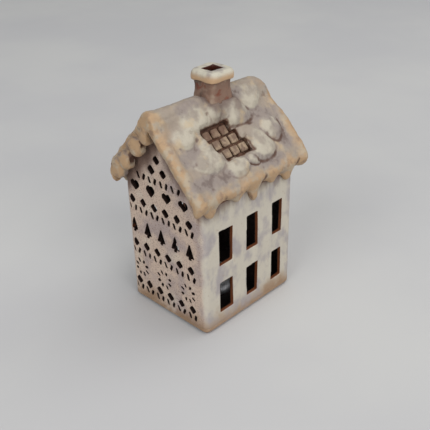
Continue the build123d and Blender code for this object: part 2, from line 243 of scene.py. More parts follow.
half_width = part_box("right_wall")[1].x
half_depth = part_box("rear_gable")[1].y
floor_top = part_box("floor_slab")[1].z
ridge_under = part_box("front_gable")[1].z
roof_slope = math.tan(math.radians(47.0))
wall_thickness = 0.004
corner_radius = 0.005
touching = 0.0001
sink_into_roof = 0.0015
knife = 0.0004
knife_wave = 0.0031
cross_wave = 0.0029
slow_wave = 0.0047
plain_foot = 0.002
plain_top = 0.004


def below_roof(places):
    """How far each point lies under the roof slabs, measured upright."""
    return ridge_under - abs(places[:, 0]) * roof_slope - places[:, 2]


def in_front_gable(places, edge):
    """Which points lie in the front gable, clear of its foot and top and, by edge, of its sides."""
    x, y, z = places.T
    inside = (y < wall_thickness - half_depth + knife) & (abs(x) < half_width - edge)
    return inside & (z > floor_top + plain_foot) & (below_roof(places) > plain_top)


def wander(first, second):
    """Unevenness of a hand-held knife, from -1 to 1, in waves of about 20 mm over a plane."""
    bend = 1.7 * np.sin(second / slow_wave)
    return np.sin(first / knife_wave + bend) * np.cos(second / cross_wave + 0.6)


shell = cad_copy("shell", "floor_slab", "right_wall", "left_wall", "front_gable", "rear_gable")
places = points_of(shell)
places[below_roof(places) < touching, 2] += sink_into_roof

# Openings cut by hand. The windows of the right wall are uneven: each column by its middle and its width
# as a share of the even one, and each row by its middle and its height share
windows_low = 0.01
windows_high = 0.1
plain_corner = 0.006
window_columns = ((-0.0287, 1.13), (0.0023, 1.02), (0.0333, 0.92))
window_rows = ((0.0292, 0.97), (0.0758, 1.06))
column_reach = 0.010
row_reach = 0.018
x, y, z = places.T
pierced = in_front_gable(places, wall_thickness)
windows = (abs(x) > half_width - wall_thickness - knife) & (abs(y) < half_depth - plain_corner)
windows &= (z > windows_low) & (z < windows_high)
shift = knife * np.column_stack((wander(x, z), wander(y + x, z), wander(z, x + y)))
for axis, reach, openings in ((1, column_reach, window_columns), (2, row_reach, window_rows)):
    for middle, size_share in openings:
        off = places[:, axis] - middle
        near = windows & (x > 0) & (abs(off) < reach)
        shift[near, axis] += (size_share - 1) * off[near]
places[pierced] += shift[pierced] * (1, 0, 1)
places[windows] += shift[windows] * (0, 1, 1)
move_points(shell, places)
soften(shell, grain=0.0005, rounds=2)

# Piercing worked wider with the knife: slots and diamonds all round, in rows given by their middle and
# half height, and the other openings to the left and to the top
slot_rows = ((0.1233, 0.0045), (0.0910, 0.0036), (0.0492, 0.0036), (0.0328, 0.0095), (0.0117, 0.0030))
diamond_rows = (
    (0.1428, 0.0050),
    (0.1328, 0.0045),
    (0.0989, 0.0044),
    (0.0570, 0.0042),
    (0.0186, 0.0040),
)
slot_play = 0.0005
diamond_play = 0.0006
left_play = 0.0009
top_play = 0.0007
last_heart_left = 0.020
hearts_low = 0.104
hearts_high = 0.119
rim_turn_share = 0.15
wall_turn_share = 0.50
least_turn = 0.001
slanted_share = 0.5
places = points_of(shell)
x, y, z = places.T
facing = normals_of(shell) * (1, 0, 1)
turned = np.linalg.norm(facing, axis=1)
facing /= np.maximum(turned, least_turn)[:, None]
last_heart = (x > last_heart_left) & (z > hearts_low) & (z < hearts_high)
to_left = left_play * facing[:, 0] * (facing[:, 2] > -slanted_share)
to_top = -top_play * facing[:, 2] * (abs(facing[:, 0]) < slanted_share)
play = np.maximum(to_left, to_top).clip(0) * ~last_heart
for rows, row_play in ((slot_rows, slot_play), (diamond_rows, diamond_play)):
    play[np.any([abs(z - height) < half for height, half in rows], axis=0)] = row_play
play *= in_front_gable(places, corner_radius)
play *= np.clip((turned - rim_turn_share) / (wall_turn_share - rim_turn_share), 0, 1)
move_points(shell, places - facing * play[:, None])
dent(shell, (0.024, 0.0005), (0.006, 0.00015))

# One pale wash brushed over the red-brown clay of every slab, thin and grainy on the gables: smudged,
# tan along the foot, stained brown and darkened with painted shade under the roof, and missing in each
# opening's thickness and inside the house, where the bare clay is painted near black as painted shade
# in the gables' piercings and over the inside faces
mm_in_m = 1000.0


def sums(tree, operation, first, second, third=0.0):
    """One arithmetic node."""
    node = tree.nodes.new("ShaderNodeMath")
    node.operation = operation
    for value, socket in zip((first, second, third), node.inputs):
        join(tree, value, socket)
    return node.outputs["Value"]


def relief(tree, shader, height, depth):
    """Bump of this depth in metres from a pattern of 0 to 1."""
    bump = tree.nodes.new("ShaderNodeBump")
    bump.inputs["Strength"].default_value = 1.0
    bump.inputs["Distance"].default_value = depth
    join(tree, height, bump.inputs["Height"])
    tree.links.new(bump.outputs["Normal"], shader.inputs["Normal"])


def marked(tree, name):
    """The number kept under a name for each mesh point."""
    attribute = tree.nodes.new("ShaderNodeAttribute")
    attribute.attribute_name = name
    return attribute.outputs["Fac"]


def height_mm(tree):
    """Height over the table in millimetres."""
    place = tree.nodes.new("ShaderNodeTexCoord")
    split = tree.nodes.new("ShaderNodeSeparateXYZ")
    tree.links.new(place.outputs["Object"], split.inputs["Vector"])
    return sums(tree, "MULTIPLY", split.outputs["Z"], mm_in_m)


clay_wash, tree, shader = new_material("clay_wash", 0.62)
patches = noise(tree, 0.020, 5.0)
smears = noise(tree, 0.015, 4.0, (1.0, 1.0, 1.3))
strokes = noise(tree, 0.009, 4.0, (1.0, 1.0, 3.5))
specks = noise(tree, 0.0022, 3.0)
grain = noise(tree, 0.0012, 2.0)
wall_tone = paint(tree, srgb(198, 190, 175), srgb(162, 154, 155), ramp(tree, smears, 0.44, 0.64, 0.85))
wall_tone = paint(tree, wall_tone, srgb(206, 198, 182), ramp(tree, strokes, 0.52, 0.78, 0.7))
wall_tone = paint(tree, wall_tone, srgb(166, 142, 122), ramp(tree, specks, 0.60, 0.78, 0.4))
gable_tone = paint(
    tree, srgb(208, 186, 168), srgb(172, 156, 152), ramp(tree, patches, 0.44, 0.64, 0.85)
)
gable_tone = paint(tree, gable_tone, srgb(216, 202, 184), ramp(tree, smears, 0.54, 0.70, 0.6))
gable_tone = paint(tree, gable_tone, srgb(140, 112, 100), ramp(tree, grain, 0.50, 0.68, 0.6))
on_gable = sums(tree, "MULTIPLY_ADD", smears, 8.0, marked(tree, "from_corner"))
tone = paint(tree, wall_tone, gable_tone, ramp(tree, on_gable, 5.0, 9.0))
foot = sums(tree, "MULTIPLY_ADD", smears, 34.0, height_mm(tree))
tone = paint(tree, tone, srgb(156, 126, 98), ramp(tree, foot, 37.0, 19.0, 0.95))
# Soot: a brown stain under the roof, deepened with painted shade where the roof overhangs the slabs
soot_and_shade = sums(tree, "MULTIPLY_ADD", strokes, 26.0, marked(tree, "below_roof"))
soot_and_shade = sums(tree, "SUBTRACT", soot_and_shade, ramp(tree, on_gable, 5.0, 9.0, 9.0))
tone = paint(tree, tone, srgb(102, 77, 65), ramp(tree, soot_and_shade, 29.0, 11.0, 0.9))
cut_face = sums(tree, "MULTIPLY_ADD", specks, 0.3, marked(tree, "depth"))
# Bare clay in each opening's thickness: red-brown in the walls, and near black in the gables as painted
# shade in their narrow piercings
reveal_clay_and_shade = paint(tree, srgb(112, 62, 34), srgb(38, 20, 14), ramp(tree, on_gable, 7.0, 8.5))
tone = paint(tree, tone, reveal_clay_and_shade, ramp(tree, cut_face, 0.38, 0.66))
# Inside the house the bare clay is painted near black: painted shade over the red-brown clay
tone = paint(tree, tone, srgb(30, 16, 11), ramp(tree, cut_face, 3.0, 3.6))
join(tree, tone, shader.inputs["Base Color"])
weft = noise(tree, 0.0011, 2.0, (1.6, 1.6, 0.7))
warp = noise(tree, 0.0011, 2.0, (0.7, 0.7, 1.6))
weave = ramp(tree, on_gable, 5.0, 9.0, 1.6)
relief(tree, shader, sums(tree, "MULTIPLY_ADD", sums(tree, "ADD", weft, warp), weave, strokes), 0.0004)

# Floor slab: a slab of clay as large as the house, with a round hole for the tealight and its lower
# edge rubbed round. The walls stand on it, joined along a level line.
joint_lift = 0.0006
floor_joint = Vector((0, 0, floor_top + joint_lift))
up = Vector((0, 0, 1))


def cut(piece, name, *planes):
    """New object from the part of a form that lies behind every plane, closed along the cuts."""
    form = bmesh.new()
    form.from_mesh(piece.data)
    for point, normal in planes:
        found = bmesh.ops.bisect_plane(
            form,
            geom=form.verts[:] + form.edges[:] + form.faces[:],
            plane_co=point,
            plane_no=normal,
            clear_outer=True,
        )
        rim = [item for item in found["geom_cut"] if isinstance(item, bmesh.types.BMEdge)]
        bmesh.ops.triangle_fill(form, edges=rim, use_beauty=True, normal=normal)
        for edge in rim:
            edge.smooth = False
    return new_piece(name, form)


def thin_out(piece, share):
    """Leaves this share of a mesh's triangles, most of them where it curves."""
    thin = piece.modifiers.new("thin", "DECIMATE")
    thin.ratio = share
    bake(piece)


def mark(piece, name, values):
    """Keeps one number for each mesh point under a name that materials can read."""
    attribute = piece.data.attributes.new(name, "FLOAT", "POINT")
    attribute.data.foreach_set("value", values.astype(np.float32))


def shell_marks(piece):
    """Marks each point's depth under the outer face, drop below the roof and way from the corner."""
    places = points_of(piece)
    past = abs(places[:, :2]) - (np.array((half_width, half_depth)) - corner_radius)
    outside = np.linalg.norm(np.maximum(past, 0), axis=1) + np.minimum(past.max(axis=1), 0)
    mark(piece, "depth", mm_in_m * (corner_radius - outside))
    mark(piece, "below_roof", mm_in_m * below_roof(places))
    mark(piece, "from_corner", mm_in_m * (half_width - abs(places[:, 0])))


def finish_piece(piece, material, slot, body, *nodes):
    """Shades a piece smooth, gives it its material, hangs it under its body and hides the CAD nodes that
    it stands for.
    """
    piece.data.materials.clear()
    piece.data.materials.append(material)
    piece.data.shade_smooth()
    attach(piece, body)
    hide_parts(*nodes)


floor_slab = cut(shell, "floor_slab_clay", (floor_joint, up))
thin_out(floor_slab, share=0.5)
shell_marks(floor_slab)
finish_piece(floor_slab, clay_wash, "bare_clay", "house", "floor_slab")

# Right wall: a slab with two rows of three windows, cut by hand while the clay was soft. It stands on
# the floor and is joined to the gables along mitres at its ends.
keep_wall = 1
keep_gable = -1


def mitre(side, end, keep):
    """Plane of the joint at one corner of the shell, with what is kept behind it."""
    return Vector((side * half_width, end * half_depth, 0)), keep * Vector((-side, end, 0))


def cut_slab(node, share, *mitres):
    """Cuts one upright slab from the shell, over the floor and between its mitres, and finishes it."""
    slab = cut(shell, node + "_clay", (floor_joint, -up), *mitres)
    thin_out(slab, share)
    shell_marks(slab)
    finish_piece(slab, clay_wash, "washed_clay", "house", node)


cut_slab("right_wall", 0.5, mitre(1, 1, keep_wall), mitre(1, -1, keep_wall))

# Left wall: a slab like the right one, with as many windows, all of one size. It stands on the floor
# and is joined to the gables in the same way.
cut_slab("left_wall", 0.5, mitre(-1, 1, keep_wall), mitre(-1, -1, keep_wall))

# Front gable: a slab rolled on canvas, so that its face keeps the weave, and pierced with rows of
# diamonds, slots, hearts, fir trees and starbursts. It is joined to the walls at their mitres.
cut_slab("front_gable", 0.6, mitre(1, -1, keep_gable), mitre(-1, -1, keep_gable))

# Rear gable: a plain slab of the same outline, rolled on the same canvas and joined to the walls in
# the same way.
cut_slab("rear_gable", 0.4, mitre(1, 1, keep_gable), mitre(-1, 1, keep_gable))
bpy.data.objects.remove(shell)

# Roof slabs: two plain slabs leaning on each other over the walls, stained brown before the snow went
# on. They stay as the CAD has them, with a mottled stain.
material, tree, shader = new_material("brown_stain", 0.7)
blotches = noise(tree, 0.006, 5.0)
tone = paint(tree, srgb(104, 72, 55), srgb(76, 50, 38), ramp(tree, blotches, 0.40, 0.65))
tone = paint(tree, tone, srgb(138, 110, 90), ramp(tree, noise(tree, 0.0025), 0.56, 0.74, 0.6))
join(tree, tone, shader.inputs["Base Color"])
relief(tree, shader, blotches, 0.0004)
for node in ("right_roof_slab", "left_roof_slab"):
    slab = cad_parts[node]
    slab.data.materials.clear()
    slab.data.materials.append(material)

# Bare tiles: small squares of clay in three staggered rows, pressed on the brown slab where the snow was
# left off. A tan-grey wash covers their faces and is missing in the joints between them.


def rubbed(piece, rounds):
    """Where an object's mesh points come to lie when the surface is rubbed smooth."""
    places = points_of(piece)
    edges = np.empty(len(piece.data.edges) * 2, dtype=np.int64)
    piece.data.edges.foreach_get("vertices", edges)
    ends, others = np.concatenate((edges.reshape(-1, 2), edges.reshape(-1, 2)[:, ::-1])).T
    count = np.bincount(ends, minlength=len(places))
    for _ in range(rounds):
        for axis in range(3):
            total = np.bincount(ends, weights=places[others, axis], minlength=len(places))
            places[:, axis] = (places[:, axis] + total / count) / 2
    return places


def hollows(piece, rounds):
    """How deep each point lies in a hollow, in millimetres, against the mesh smoothed round it."""
    return mm_in_m * ((rubbed(piece, rounds) - points_of(piece)) * normals_of(piece)).sum(axis=1)


roof_tiles = cad_copy("roof_tiles_clay", "roof_tiles")
soften(roof_tiles, grain=0.0003, rounds=120)
dent(roof_tiles, (0.006, 0.0010))
mark(roof_tiles, "hollow", hollows(roof_tiles, 20))
material, tree, shader = new_material("tile_wash", 0.6)
specks = noise(tree, 0.005, 3.0)
worn = sums(tree, "MULTIPLY_ADD", specks, 0.3, marked(tree, "hollow"))
tone = paint(tree, srgb(160, 138, 114), srgb(122, 100, 84), ramp(tree, specks, 0.40, 0.62))
over = sums(tree, "MULTIPLY_ADD", specks, 10.0, height_mm(tree))
tone = paint(tree, tone, srgb(104, 76, 60), ramp(tree, over, 157.0, 164.0, 0.75))
tone = paint(tree, tone, srgb(94, 65, 50), ramp(tree, worn, 0.16, 0.46))
join(tree, tone, shader.inputs["Base Color"])
relief(tree, shader, specks, 0.0004)
finish_piece(roof_tiles, material, "tile_clay", "house", "roof_tiles")

# Snow: a sheet of clay over both slopes and the ridge, with pats pressed on it like scales, rolls along
# the verges and drips pulled down over the eaves. It is worked as one form and parted at its joints.
snow_nodes = ("right_snow", "left_snow", "right_eave", "left_eave")
verge_nodes = ("front_right_verge", "front_left_verge", "rear_right_verge", "rear_left_verge")
pitch = math.atan(roof_slope)
slab_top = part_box("right_roof_slab")[1].z
roof_half_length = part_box("right_roof_slab")[1].y
slope_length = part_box("right_roof_slab")[1].x / math.cos(pitch)
roof_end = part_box("front_left_verge")[0].y
sheet = 0.005
lap = 0.0008
ridge_crease = 0.0047
pressed_flat_share = 0.6


def on_slope(places):
    """How far each point lies down its slope and how high over the slab."""
    out = abs(places[:, 0])
    rise = places[:, 2] - slab_top
    down = out * math.cos(pitch) - rise * math.sin(pitch)
    return down, out * math.sin(pitch) + rise * math.cos(pitch)


def push_out(places, amount):
    """Moves points straight out from their slope."""
    places[:, 0] += np.sign(places[:, 0]) * math.sin(pitch) * amount
    places[:, 2] += math.cos(pitch) * amount


def rise_of(values, low, high):
    """Soft step from 0 to 1 between two values."""
    share = np.clip((values - low) / (high - low), 0, 1)
    return share * share * (3 - 2 * share)


def stretch_ends(piece, amount):
    """Moves the points over the ends of the roof slabs out along the ridge."""
    places = points_of(piece)
    at_end = abs(abs(places[:, 1]) - roof_half_length) < touching
    places[at_end, 1] += np.sign(places[at_end, 1]) * amount
    move_points(piece, places)


sheets = cad_copy("sheets", *snow_nodes)
places = points_of(sheets)
down, lift = on_slope(places)
push_out(places, -pressed_flat_share * np.where(down > ridge_crease, np.maximum(lift - sheet, 0), 0))
push_out(places, np.where(abs(lift) < touching, -lap, 0))
on_wall = (abs(abs(places[:, 0]) - half_width) < touching) & (lift < sheet - touching)
places[on_wall, 0] -= np.sign(places[on_wall, 0]) * lap
move_points(sheets, places)
stretch_ends(sheets, 2 * lap)
rolls = cad_copy("rolls", *verge_nodes)
stretch_ends(rolls, -lap)
rim = cad_copy("rim", "front_right_verge")
move_points(rim, points_of(rim) * (-1, 1, 1))
rim.data.flip_normals()
stretch_ends(rim, -lap)
form = bmesh.new()
for part in (rolls, rim, sheets):
    form.from_mesh(part.data)
    bpy.data.objects.remove(part)
snow = new_piece("snow", form)
soften(snow, grain=0.0006, rounds=10)

# Bands in which the soft steps below rise from 0 to 1: lift through the sheet, and way in from the verges
top_band = (0.0015, 0.0035)
verge_band = (0.0, 0.005)
places = points_of(snow)
x, y, z = places.T.copy()
down, lift = on_slope(places)
upper = rise_of(lift, *top_band)
field = upper * rise_of(roof_half_length - abs(y), *verge_band)

# Broad soft ridge that falls away at the rear end, and a slope that swells a little
ridge_middle = (-0.0021, 0.0020)
ridge_radius = 0.0075
ridge_fill = 0.0034
shoulder_down = 0.002
shoulder_reach = 0.006
crown_end = 0.001
swell = 0.0010
swell_middle = 0.034
crown = ridge_middle[1] + np.sqrt(np.maximum(ridge_radius**2 - (down - ridge_middle[0]) ** 2, 0))
shoulder = sheet + ridge_fill * np.exp(-(((down - shoulder_down) / shoulder_reach) ** 2))
faired = np.where(down > crown_end, np.maximum(crown, shoulder), crown)
push_out(places, upper * np.maximum(faired - lift, 0))
push_out(places, swell * field * np.clip(1 - ((down - swell_middle) / swell_middle) ** 2, 0, 1))
rear_fall = 0.010
fall_start = 0.046
fall_down_band = (0.0, 0.036)
fall_lift_band = (-0.004, 0.006)
rearward = np.clip((y - fall_start) / (-roof_end - fall_start), 0, 1)
fall = rearward**2 * (1 - rise_of(down, *fall_down_band)) * rise_of(lift, *fall_lift_band)
places[:, 2] -= rear_fall * fall

# Edge of the bare patch, thinned down to the tiles
tile_spacing = 0.0091
patch_along = -0.006
patch_down = 0.033
margin_along = 0.0008
margin_down = 0.0016
thinned = 0.0020
thinned_band = (0.0, 0.003)
elsewhere = 1.0
past_patch = np.full(len(places), elsewhere)
for row in (-1, 0, 1):
    past_along = abs(y - patch_along - row * tile_spacing / 2) - (1.5 * tile_spacing + margin_along)
    past_down = abs(down - patch_down - row * tile_spacing) - (0.5 * tile_spacing + margin_down)
    past = np.hypot(np.maximum(past_along, 0), np.maximum(past_down, 0))
    past_patch = np.minimum(past_patch, past)
past_patch = np.where(x > 0, past_patch, elsewhere)
push_out(places, -thinned * upper * (1 - rise_of(past_patch, *thinned_band)))

# Snow swept up round the chimney's foot, a little higher on the ridge than at the sides
chimney_low, chimney_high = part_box("chimney")
chimney_middle = (chimney_low + chimney_high) / 2
chimney_half = chimney_high.x
beside = np.hypot(
    np.maximum(abs(x) - chimney_half, 0),
    np.maximum(abs(y - chimney_middle.y) - chimney_half, 0),
)
collar_ridge = 0.1815
collar_side = 0.1780
collar_reach = 0.0055
collar_band = (0.002, 0.009)
clear_band = (0.0, 0.007)
collar = collar_ridge + (collar_side - collar_ridge) * rise_of(abs(x), *collar_band)
swept = np.exp(-((beside / collar_reach) ** 2)) * rise_of(past_patch, *clear_band)
places[:, 2] += upper * swept * (collar - places[:, 2])

# Pats as shares: place along the half ridge and down the slope, length and width by the slope's length,
# and how far the lip stands open
right_pats = [
    (-0.47, 0.14, 0.42, 0.28, 0.4),
    (-0.09, 0.17, 0.18, 0.17, 0.1),
    (0.25, 0.23, 0.41, 0.28, 0.9),
    (-0.75, 0.28, 0.31, 0.25, 0.1),
    (-0.51, 0.44, 0.18, 0.18, 0.1),
    (-0.58, 0.62, 0.40, 0.28, 0.4),
    (-0.17, 0.79, 0.31, 0.24, 0.6),
    (0.13, 0.77, 0.19, 0.18, 1.0),
    (0.38, 0.67, 0.34, 0.38, 0.9),
    (0.72, 0.52, 0.27, 0.32, 0.8),
    (0.64, 0.10, 0.34, 0.28, 0.5),
]
left_pats = [
    (0.48, 0.18, 0.42, 0.28, 0.4),
    (-0.30, 0.22, 0.40, 0.26, 0.3),
    (-0.72, 0.34, 0.30, 0.28, 0.8),
    (0.72, 0.50, 0.28, 0.32, 0.9),
    (0.30, 0.50, 0.38, 0.30, 0.2),
    (-0.12, 0.54, 0.34, 0.34, 0.9),
    (-0.54, 0.66, 0.38, 0.30, 0.3),
    (0.50, 0.80, 0.34, 0.24, 0.5),
    (0.08, 0.84, 0.30, 0.22, 1.0),
]
pat_rise = 0.0021
pat_spread = 1.15
wobble_share = 0.08
back_share = 0.6
lip_reach_share = 1.08
lip_width_share = 0.14
lip_round_share = 0.5
covered_share = 0.2
lower_band = (-0.6, 0.8)
lip_band = (0.1, 0.7)
height = np.zeros(len(places))
gap_shade = np.zeros(len(places))
for side, pats in ((1, right_pats), (-1, left_pats)):
    for along_share, down_share, length, width, opened in pats:
        across = (y - along_share * roof_half_length) / (pat_spread * length * slope_length / 2)
        below = (down - down_share * slope_length) / (pat_spread * width * slope_length / 2)
        turn = np.arctan2(below, across)
        reach = np.hypot(across, below) * (1 + wobble_share * np.sin(3 * turn + 9 * along_share))
        lower = rise_of(below, *lower_band)
        inside = np.clip(1 - reach**2, 0, 1)
        lipped = np.clip(1 - reach**4, 0, 1) ** (1 - lip_round_share * opened)
        dome = (side * x > 0) * ((1 - lower) * back_share * inside + lower * lipped)
        height = np.maximum(height, dome)
        # Painted shade under each open lip: a crescent just past the pat's lower edge, as strong as the
        # lip stands open
        around = np.exp(-(((reach - lip_reach_share) / lip_width_share) ** 2))
        lip = rise_of(np.sin(turn), *lip_band) * around
        gap_shade = np.maximum(gap_shade * (dome < covered_share), opened * lip * (side * x > 0))
push_out(places, pat_rise * field * height * (1 - swept))

# Rounder rolls along the verges
roll_rise = 0.0012
roll_out = 0.002
roll_half = 0.005
past_joint = abs(y) - roof_half_length
push_out(places, roll_rise * upper * np.exp(-(((past_joint - roll_out) / roll_half) ** 2)))

# Front left verge: a straight rim with four drops under it, by place down the slope, half width and half
# height. The row of lumps slides to the drops' places and is set back and drawn in between them
drops = [
    (0.0095, 0.0075, 0.0090),
    (0.0269, 0.0075, 0.0080),
    (0.0478, 0.0070, 0.0078),
    (0.0625, 0.0080, 0.0110),
]
lump_places = (0.0099, 0.0263, 0.0427, 0.0590)
slope_end = 0.075
drop_lift = -0.0030
rim_low = 0.0010
rim_high = 0.0045
lumps_down = (0.0, *lump_places, slope_end)
drops_down = (0.0, *(drop_down for drop_down, _, _ in drops), slope_end)
under_rim = rise_of(-lift, -rim_high, -rim_low)
on_verge = (x < 0) * rise_of(-roof_half_length - y, -2 * lap, -lap)
slid = on_verge * under_rim * (np.interp(down, lumps_down, drops_down) - down)
places[:, 0] -= math.cos(pitch) * slid
places[:, 2] -= math.sin(pitch) * slid
end_start = 0.044
end_share = 0.55
past_end = np.maximum(-x - end_start, 0)
places[:, 0] += on_verge * (1 - end_share) * past_end
out, plumb = -places[:, 0], places[:, 2]
drop = np.zeros(len(places))
for drop_down, half_across, half_plumb in drops:
    drop_out = drop_down * math.cos(pitch) + drop_lift * math.sin(pitch)
    drop_height = slab_top - drop_down * math.sin(pitch) + drop_lift * math.cos(pitch)
    off = ((out - drop_out) / half_across) ** 2 + ((plumb - drop_height) / half_plumb) ** 2
    drop = np.maximum(drop, np.sqrt(np.clip(1 - off, 0, 1)))
first_band = (0.002, 0.007)
last_band = (-0.004, 0.0)
between = under_rim * rise_of(down, *first_band) * rise_of(drops[-1][0] - down, *last_band)
set_back_share = 0.40
apex_back_share = 0.45
apex_down_band = (-0.004, 0.018)
apex_lift_band = (0.0, 0.004)
kept = 1 - (1 - set_back_share) * between * (1 - drop)
kept *= 1 - apex_back_share * (1 - rise_of(down, *apex_down_band)) * rise_of(lift, *apex_lift_band)
verge_back = 0.001
verge_front = -roof_half_length - verge_back
on_lumps = (x < 0) & (y < verge_front)
places[on_lumps, 1] = verge_front + ((y - verge_front) * kept)[on_lumps]
drawn_in = 0.0040
drawn_band = (0.003, 0.008)
drop_band = (0.05, 0.45)
groove_band = (-0.002, 0.002)
groove = on_verge * between * (1 - rise_of(drop, *drop_band)) * rise_of(-lift, *groove_band)
push_out(places, drawn_in * groove * rise_of(-lift, *drawn_band))

# Drips and the notches between them: place along the half eave, width and, for a notch, depth as shares
drips = [(-0.84, 1.15), (-0.33, 1.10), (0.02, 1.10), (0.38, 0.85), (0.72, 1.15)]
notches = [(-0.59, 1.1, 0.7), (-0.14, 0.6, 0.6), (0.21, 1.3, 1.0), (0.54, 0.7, 0.6), (0.92, 1.0, 0.9)]
drip_width = 0.013
drip_half_share = 0.55
notch_width = 0.0022
notch_depth = 0.0016
notch_lean = 0.35
notch_top = 0.131
notch_band = (0.0, 0.010)
eave_middle = 0.1235
eave_band = (0.0, 0.008)
drip_swell = 0.0010
drawn_up = 0.0016
hanging = np.zeros(len(places))
for along_share, width in drips:
    off = (y - along_share * roof_half_length) / (drip_half_share * width * drip_width)
    hanging = np.maximum(hanging, np.exp(-(off**4)))
notched = np.zeros(len(places))
for along_share, width, depth in notches:
    leaning = np.sign(along_share) * notch_lean * (z - eave_middle)
    off = (y - along_share * roof_half_length - leaning) / (width * notch_width)
    notched = np.maximum(notched, depth * np.exp(-(off**2)))
outer = (abs(x) > half_width - lap / 2) * (abs(y) < roof_half_length)
lip = rise_of(eave_middle - z, *eave_band) * outer
notch = notched * rise_of(notch_top - z, *notch_band) * outer
places[:, 2] += drawn_up * lip * (1 - hanging)
places[:, 0] += np.sign(x) * (lip * drip_swell * (2 * hanging - 1) - notch_depth * notch)
move_points(snow, places)


def rub_over(piece, rounds, share):
    """Rubs a surface smooth with the fingers, by a share from 0 to 1 for each point."""
    places = points_of(piece)
    move_points(piece, places + share[:, None] * (rubbed(piece, rounds) - places))


# Rubbed over at the end: all of it a little, the rolls more, but less on the drops, and the drips most
roll_inner = 0.008
roll_outer = 0.002
drops_share = 0.3
drip_top = 0.136
roll_soft = rise_of(abs(y), roof_half_length - roll_inner, roof_half_length - roll_outer)
roll_soft *= np.where((x < 0) & (y < 0), drops_share, 1.0)
drip_soft = rise_of(drip_top - z, *eave_band) * (abs(x) > half_width - lap)
move_points(snow, rubbed(snow, 5))
rub_over(snow, 30, roll_soft)
rub_over(snow, 60, drip_soft)
dent(snow, (0.020, 0.0016), (0.008, 0.0010), (0.004, 0.0003))

# Grey smudges, and creases painted dark brown as shade, as places along and down the right slope, length
# and width, in millimetres
smudges = [
    (34, 23, 13, 8),
    (-40, 31, 9, 6),
    (-45, 56, 12, 6),
    (-28, 59, 14, 5),
    (-15, -3, 22, 7),
    (20, 4, 12, 7),
    (47, 50, 7, 12),
    (30, 62, 16, 5),
]
creases = [(51, 37, 2, 9), (3, 19, 2, 3), (22, 28, 6, 2)]


def laid(spots):
    """Soft spots at these places and of these sizes on the right slope, 1 in their middles."""
    strength = np.zeros(len(places))
    for along, off, length, width in spots:
        spread = ((mm_in_m * y - along) / length) ** 2 + ((mm_in_m * down - off) / width) ** 2
        strength = np.maximum(strength, np.exp(-spread))
    return strength


eave_down = 0.076
crease_share = 0.9
creased = crease_share * laid(creases) * (x > 0)
mark(snow, "hollow", hollows(snow, 40))
mark(snow, "pat", height * field)
mark(snow, "gap_shade", np.maximum.reduce((gap_shade * field, groove, notch, creased)))
mark(snow, "past_patch", mm_in_m * past_patch)
mark(snow, "inset", mm_in_m * np.minimum(-roof_end - abs(y), eave_down - down))
mark(snow, "smudged", laid(smudges))
mark(snow, "beside", mm_in_m * beside)

material, tree, shader = new_material("snow_wash", 0.55)
patches = noise(tree, 0.016, 5.0)
clouds = noise(tree, 0.008, 5.0)
specks = noise(tree, 0.004, 4.0)
hollow = marked(tree, "hollow")
raised = sums(tree, "MULTIPLY_ADD", clouds, 1.0, marked(tree, "pat"))
washed_thin = ramp(tree, noise(tree, 0.012, 5.0), 0.42, 0.64, 0.9)
cream = paint(tree, srgb(184, 175, 158), srgb(154, 142, 130), washed_thin)
tone = paint(tree, srgb(156, 142, 128), cream, ramp(tree, raised, 0.40, 0.95))
tone = paint(tree, tone, srgb(194, 170, 134), ramp(tree, noise(tree, 0.011), 0.52, 0.70, 0.6))
edge = sums(tree, "MULTIPLY_ADD", patches, 22.0, marked(tree, "inset"))
peach = paint(tree, srgb(178, 147, 113), srgb(176, 162, 140), ramp(tree, clouds, 0.46, 0.62, 0.8))
peach = paint(tree, peach, srgb(142, 116, 96), ramp(tree, noise(tree, 0.007, 5.0), 0.54, 0.70, 0.75))
tone = paint(tree, tone, peach, ramp(tree, edge, 25.0, 13.0, 0.95))
dirt = sums(tree, "MULTIPLY_ADD", hollow, 0.3, patches)
dirt = sums(tree, "MULTIPLY_ADD", marked(tree, "smudged"), 0.38, dirt)
tone = paint(tree, tone, srgb(142, 130, 124), ramp(tree, dirt, 0.54, 0.76, 0.8))
speckled = sums(tree, "MULTIPLY_ADD", specks, 0.6, dirt)
tone = paint(tree, tone, srgb(110, 95, 89), ramp(tree, speckled, 1.05, 1.35, 0.8))
stain = sums(tree, "MULTIPLY_ADD", hollow, 0.35, clouds)
tone = paint(tree, tone, srgb(106, 84, 72), ramp(tree, stain, 0.62, 0.84, 0.75))
foot = sums(tree, "MULTIPLY_ADD", clouds, 10.0, marked(tree, "beside"))
tone = paint(tree, tone, srgb(112, 94, 86), ramp(tree, foot, 12.0, 5.0, 0.9))
# Painted shade, dark brown: under the pats' open lips, in the grooves between the verge's drops, in the
# notches between the eave's drips and along the creases
dark = sums(tree, "MULTIPLY_ADD", noise(tree, 0.006, 4.0), 1.2, marked(tree, "gap_shade"))
tone = paint(tree, tone, srgb(88, 62, 50), ramp(tree, dark, 0.95, 1.60, 0.95))
grout = sums(tree, "MULTIPLY_ADD", specks, 3.0, marked(tree, "past_patch"))
tone = paint(tree, tone, srgb(92, 62, 47), ramp(tree, grout, 2.6, 1.2))
join(tree, tone, shader.inputs["Base Color"])
relief(tree, shader, specks, 0.0006)

ridge = Vector((0, 0, 0))
across = Vector((1, 0, 0))
along = Vector((0, 1, 0))
front_joint = Vector((0, -roof_half_length, 0))
rear_joint = Vector((0, roof_half_length, 0))
for side_name, outward in (("right", across), ("left", -across)):
    half = cut(snow, "half", (ridge, -outward))
    slope = cut(half, side_name + "_snow_clay", (front_joint, -along), (rear_joint, along))
    finish_piece(slope, material, "snow_clay", "house", side_name + "_snow", side_name + "_eave")
    for end_name, joint, inward in (("front", front_joint, along), ("rear", rear_joint, -along)):
        verge = cut(half, f"{end_name}_{side_name}_verge_clay", (joint, inward))
        finish_piece(verge, material, "peach_clay", "house", f"{end_name}_{side_name}_verge")
    bpy.data.objects.remove(half)
bpy.data.objects.remove(snow)

